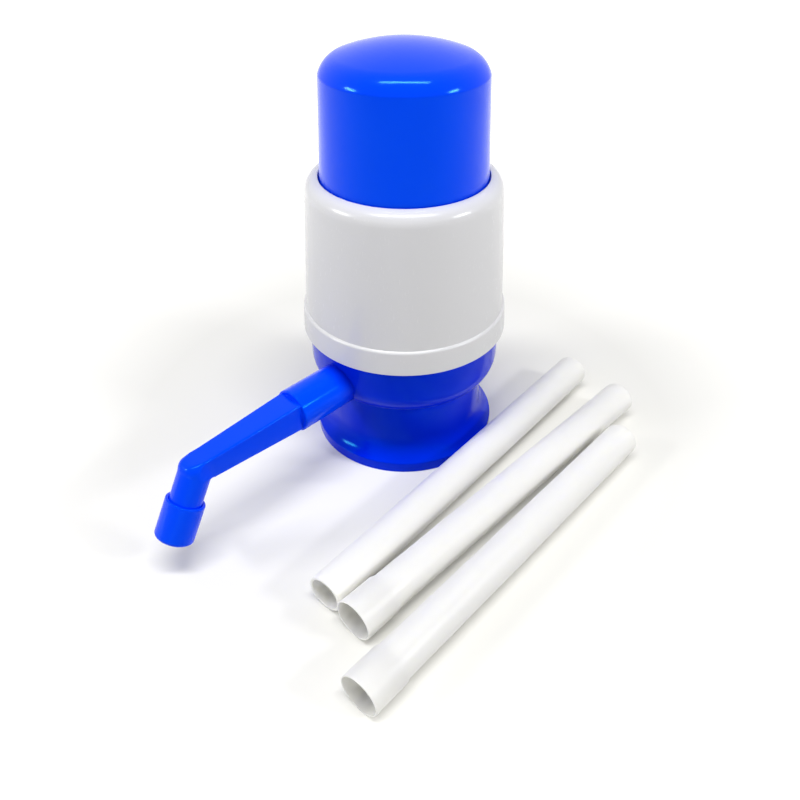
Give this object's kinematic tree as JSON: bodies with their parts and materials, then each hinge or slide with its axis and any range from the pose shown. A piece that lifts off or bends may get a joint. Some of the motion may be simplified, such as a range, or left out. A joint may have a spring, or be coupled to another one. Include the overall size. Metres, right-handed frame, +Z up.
{
  "type": "water jug hand pump",
  "caption": "Hand pump that stands on a water jug's neck: domed push cap, white sleeve, flared base, bent swivelling spout with a dust cap, and loose dip tubes beside it.",
  "frame": {"origin": "centre of the bottle-neck bore in the plane of the foot", "axes": "+Z up along the pump's axis, -Y along the spout"},
  "size_m": [0.1366, 0.1974, 0.1581],
  "materials": {
    "blue_plastic": "gloss",
    "white_plastic": "gloss",
    "tube_plastic": "satin",
    "natural_plastic": "satin",
    "rubber": "matt",
    "steel": "satin"
  },
  "bodies": {
    "pump_body": {"base_body": "blue_plastic", "housing": "white_plastic", "cylinder": "natural_plastic", "cylinder_lid": "natural_plastic", "cylinder_gasket": "rubber", "cylinder_screws": "steel", "return_spring": "steel", "valve_body": "natural_plastic", "deck_gasket": "rubber", "neck_gasket": "rubber", "inlet_retainer": "natural_plastic", "outlet_tube": "natural_plastic", "outlet_washer": "rubber", "outlet_retainer": "natural_plastic"},
    "plunger": {"push_cap": "blue_plastic", "plunger_stem": "natural_plastic", "piston": "natural_plastic", "piston_cup": "rubber", "piston_screw": "steel"},
    "inlet_valve": {"inlet_flap": "rubber"},
    "outlet_valve": {"outlet_flap": "rubber"},
    "spout_arm": {"spout": "blue_plastic", "spout_oring": "rubber"},
    "tip_cap": {"dust_cap": "blue_plastic"},
    "loose_tube_1": {"tube_1": "tube_plastic"},
    "loose_tube_2": {"tube_2": "tube_plastic"},
    "loose_tube_3": {"tube_3": "tube_plastic"}
  },
  "joints": [
    {"name": "cap_press", "type": "slide", "parent": "pump_body", "child": "plunger", "axis": [0, 0, 1], "range_m": [-0.034, 0], "stiffness_N_per_m": 120, "springref_m": 0.02, "deforming": ["return_spring"]},
    {"name": "inlet_lift", "type": "slide", "parent": "pump_body", "child": "inlet_valve", "axis": [0, 0, 1], "range_m": [0, 0.0018]},
    {"name": "outlet_lift", "type": "slide", "parent": "pump_body", "child": "outlet_valve", "axis": [0, -1, 0], "range_m": [0, 0.0018]},
    {"name": "spout_swivel", "type": "hinge", "parent": "pump_body", "child": "spout_arm", "pos_m": [0, -0.062, 0.0384], "axis": [0, -1, 0], "continuous": true},
    {"name": "dust_cap_pull", "type": "slide", "parent": "spout_arm", "child": "tip_cap", "axis": [0, -0.512, -0.859], "range_m": [0, 0.016]},
    {"name": "tube_1_slide", "type": "slide", "parent": "pump_body", "child": "loose_tube_1", "axis": [-0.0628, 0.998, 0], "range_m": [0, 0.08]},
    {"name": "tube_2_slide", "type": "slide", "parent": "pump_body", "child": "loose_tube_2", "axis": [-0.0087, -1, 0], "range_m": [0, 0.08]},
    {"name": "tube_3_slide", "type": "slide", "parent": "pump_body", "child": "loose_tube_3", "axis": [0.0209, -0.9998, 0], "range_m": [0, 0.08]}
  ]
}
